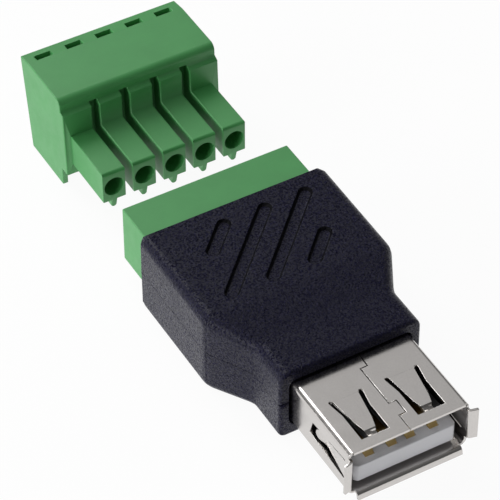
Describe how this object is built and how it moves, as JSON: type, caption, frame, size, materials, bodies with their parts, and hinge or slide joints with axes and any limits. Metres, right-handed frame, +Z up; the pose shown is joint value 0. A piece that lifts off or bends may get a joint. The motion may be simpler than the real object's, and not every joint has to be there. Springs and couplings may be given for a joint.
{
  "type": "usb terminal block adapter",
  "caption": "USB socket adapter in a dark moulded housing with slanting grip grooves, and a green screw terminal plug that pulls off its header.",
  "frame": {"origin": "on the housing's underside, at the middle of its wide half", "axes": "+Y from the USB mouth to the terminal plug, +X the width, +Z up"},
  "size_m": [0.0208, 0.0621, 0.0115],
  "materials": {
    "housing_black": "fine moulded grain",
    "terminal_green": "satin moulded",
    "shell_steel": "satin nickel plating on steel sheet",
    "tongue_white": "white moulded insulator",
    "contact_gilt": "gold plating",
    "board_green": "solder mask on glass fibre laminate",
    "pin_tin": "tin plating on brass",
    "cage_brass": "nickel plating on brass",
    "screw_steel": "zinc plating"
  },
  "bodies": {
    "adapter": {"upper_shell": "housing_black", "lower_shell": "housing_black", "circuit_board": "board_green", "usb_shell": "shell_steel", "usb_tongue": "tongue_white", "usb_contact_1": "contact_gilt", "usb_contact_2": "contact_gilt", "usb_contact_3": "contact_gilt", "usb_contact_4": "contact_gilt", "terminal_header": "terminal_green", "header_pin_1": "pin_tin", "header_pin_2": "pin_tin", "header_pin_3": "pin_tin", "header_pin_4": "pin_tin", "header_pin_5": "pin_tin"},
    "plug": {"plug_body": "terminal_green", "socket_contact_1": "pin_tin", "socket_contact_2": "pin_tin", "socket_contact_3": "pin_tin", "socket_contact_4": "pin_tin", "socket_contact_5": "pin_tin"},
    "screw_1": {"clamp_screw_1": "screw_steel"},
    "cage_1": {"clamp_cage_1": "cage_brass"},
    "screw_2": {"clamp_screw_2": "screw_steel"},
    "cage_2": {"clamp_cage_2": "cage_brass"},
    "screw_3": {"clamp_screw_3": "screw_steel"},
    "cage_3": {"clamp_cage_3": "cage_brass"},
    "screw_4": {"clamp_screw_4": "screw_steel"},
    "cage_4": {"clamp_cage_4": "cage_brass"},
    "screw_5": {"clamp_screw_5": "screw_steel"},
    "cage_5": {"clamp_cage_5": "cage_brass"}
  },
  "joints": [
    {"name": "plug_slide", "type": "slide", "parent": "adapter", "child": "plug", "axis": [0, 1, 0], "range_m": [-0.0131, 0]},
    {"name": "screw_1_turn", "type": "hinge", "parent": "plug", "child": "screw_1", "pos_m": [-0.007, 0.0294, 0.0012], "axis": [0, 0, 1], "range_deg": [0, 1530]},
    {"name": "cage_1_slide", "type": "slide", "parent": "plug", "child": "cage_1", "axis": [0, 0, -1], "range_m": [0, 0.0017]},
    {"name": "screw_2_turn", "type": "hinge", "parent": "plug", "child": "screw_2", "pos_m": [-0.0035, 0.0294, 0.0012], "axis": [0, 0, 1], "range_deg": [0, 1530]},
    {"name": "cage_2_slide", "type": "slide", "parent": "plug", "child": "cage_2", "axis": [0, 0, -1], "range_m": [0, 0.0017]},
    {"name": "screw_3_turn", "type": "hinge", "parent": "plug", "child": "screw_3", "pos_m": [0, 0.0294, 0.0012], "axis": [0, 0, 1], "range_deg": [0, 1530]},
    {"name": "cage_3_slide", "type": "slide", "parent": "plug", "child": "cage_3", "axis": [0, 0, -1], "range_m": [0, 0.0017]},
    {"name": "screw_4_turn", "type": "hinge", "parent": "plug", "child": "screw_4", "pos_m": [0.0035, 0.0294, 0.0012], "axis": [0, 0, 1], "range_deg": [0, 1530]},
    {"name": "cage_4_slide", "type": "slide", "parent": "plug", "child": "cage_4", "axis": [0, 0, -1], "range_m": [0, 0.0017]},
    {"name": "screw_5_turn", "type": "hinge", "parent": "plug", "child": "screw_5", "pos_m": [0.007, 0.0294, 0.0012], "axis": [0, 0, 1], "range_deg": [0, 1530]},
    {"name": "cage_5_slide", "type": "slide", "parent": "plug", "child": "cage_5", "axis": [0, 0, -1], "range_m": [0, 0.0017]}
  ],
  "couplings": [
    {"joint": "screw_1_turn", "follows": "cage_1_slide", "rad_per_m": 15708},
    {"joint": "screw_2_turn", "follows": "cage_2_slide", "rad_per_m": 15708},
    {"joint": "screw_3_turn", "follows": "cage_3_slide", "rad_per_m": 15708},
    {"joint": "screw_4_turn", "follows": "cage_4_slide", "rad_per_m": 15708},
    {"joint": "screw_5_turn", "follows": "cage_5_slide", "rad_per_m": 15708}
  ]
}
